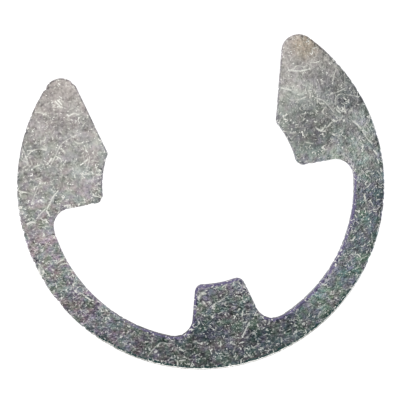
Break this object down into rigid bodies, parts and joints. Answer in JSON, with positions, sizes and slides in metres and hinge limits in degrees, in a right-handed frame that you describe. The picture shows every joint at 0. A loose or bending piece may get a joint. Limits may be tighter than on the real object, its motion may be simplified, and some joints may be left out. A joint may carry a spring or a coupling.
{
  "type": "retaining ring",
  "caption": "Flat E-type retaining ring: an open spring-steel band with inward lugs that seat in a shaft groove, and a flared mouth between rounded prongs.",
  "frame": {"origin": "on the axis of the shaft that the ring holds, which is the centre of the lugs' seat, at the lower flat face", "axes": "+Z along the shaft's axis and up through the sheet, towards the face with the rounded edge; +Y out of the mouth, against the way the ring is pushed on; +X to the right"},
  "size_m": [0.0224, 0.0192, 0.0013],
  "materials": {
    "zinc_plated_steel": "zinc plated spring steel, tumbled and finely scratched"
  },
  "bodies": {
    "root": {"retaining_ring": "zinc_plated_steel"}
  },
  "joints": []
}
